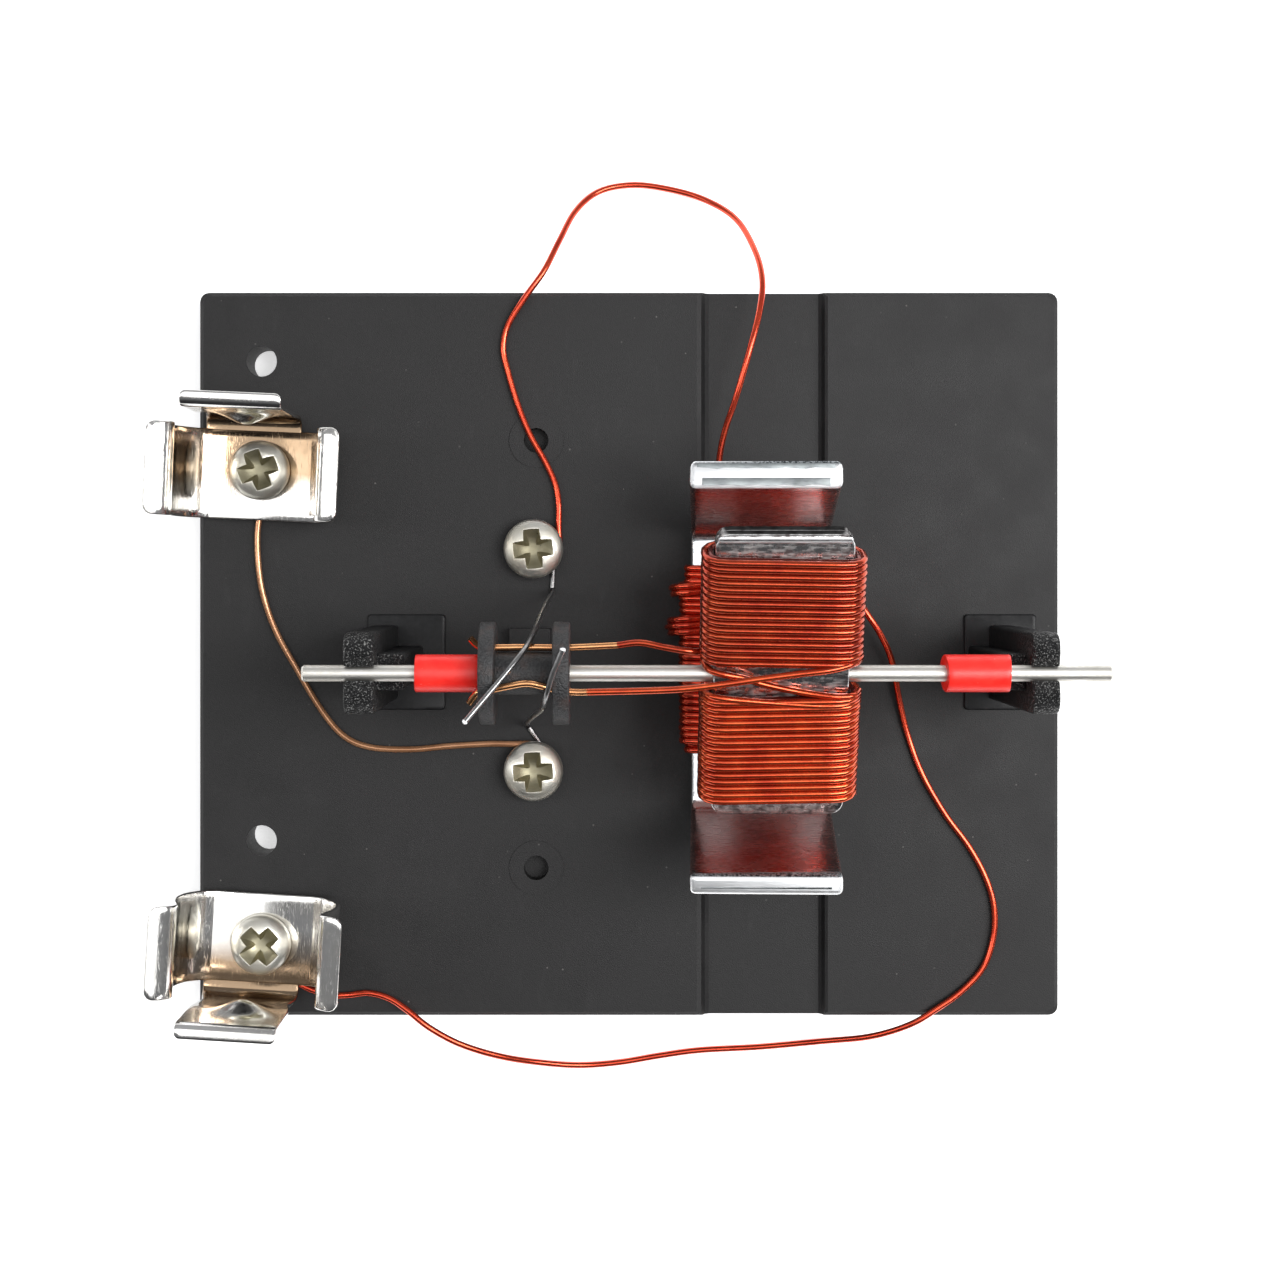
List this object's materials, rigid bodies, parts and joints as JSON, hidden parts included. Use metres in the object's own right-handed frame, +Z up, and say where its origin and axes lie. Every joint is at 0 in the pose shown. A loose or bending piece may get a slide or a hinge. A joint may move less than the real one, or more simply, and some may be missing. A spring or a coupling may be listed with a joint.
{
  "type": "open electric motor kit",
  "caption": "Open electric motor kit on a moulded base: wound armature on a shaft, U-shaped wound field core, wire brushes and sprung clips for a cell.",
  "frame": {"origin": "centre of the base plate's underside", "axes": "+X along the motor shaft away from the cell clips, +Y to the rear edge of the base, +Z up"},
  "size_m": [0.079, 0.0803, 0.0301],
  "materials": {
    "base_plastic": "matte black moulded plastic",
    "post_plastic": "glossy black moulded plastic",
    "plated_strip": "zinc-plated steel strip",
    "clip_nickel": "bright nickel-plated spring strip",
    "screw_metal": "warm nickel-plated screw",
    "brush_steel": "bright spring wire",
    "shaft_steel": "drawn steel rod",
    "sleeve_red": "soft red tubing",
    "rotor_enamel": "red-enamelled copper wire",
    "field_enamel": "red-enamelled copper wire",
    "brown_enamel": "brown-enamelled copper wire",
    "bare_copper": "scraped bare copper wire"
  },
  "bodies": {
    "base": {"base_plate": "base_plastic", "bearing_post_left": "post_plastic", "bearing_post_right": "post_plastic", "stator_core": "plated_strip", "field_coil": "field_enamel", "stator_screw": "screw_metal", "battery_clip_rear": "clip_nickel", "battery_clip_front": "clip_nickel", "clip_screw_rear": "screw_metal", "clip_screw_front": "screw_metal", "brush_screw_rear": "screw_metal", "brush_screw_front": "screw_metal", "brush_eye_rear": "brush_steel", "brush_eye_front": "brush_steel", "field_lead_rear": "field_enamel", "field_lead_front": "field_enamel", "battery_lead": "brown_enamel"},
    "rotor": {"shaft": "shaft_steel", "sleeve_left": "sleeve_red", "sleeve_right": "sleeve_red", "commutator_spool": "post_plastic", "commutator_wire_rear": "bare_copper", "commutator_wire_front": "bare_copper", "coil_lead_rear": "rotor_enamel", "coil_lead_front": "rotor_enamel", "rotor_core_top_plate": "plated_strip", "rotor_core_bottom_plate": "plated_strip", "rotor_coil_rear": "rotor_enamel", "rotor_coil_front": "rotor_enamel"},
    "rear_brush": {"brush_wire_rear": "brush_steel"},
    "front_brush": {"brush_wire_front": "brush_steel"}
  },
  "joints": [
    {"name": "rotor_spin", "type": "hinge", "parent": "base", "child": "rotor", "pos_m": [0.012, -0.0007, 0.024], "axis": [1, 0, 0], "continuous": true},
    {"name": "rear_brush_flex", "type": "hinge", "parent": "base", "child": "rear_brush", "pos_m": [-0.0068, 0.00535, 0.0062], "axis": [1, 0, 0], "range_deg": [-8, 0], "stiffness_Nm_per_rad": 0.01},
    {"name": "front_brush_flex", "type": "hinge", "parent": "base", "child": "front_brush", "pos_m": [-0.0091, -0.0061, 0.0062], "axis": [1, 0, 0], "range_deg": [0, 8], "stiffness_Nm_per_rad": 0.01}
  ]
}
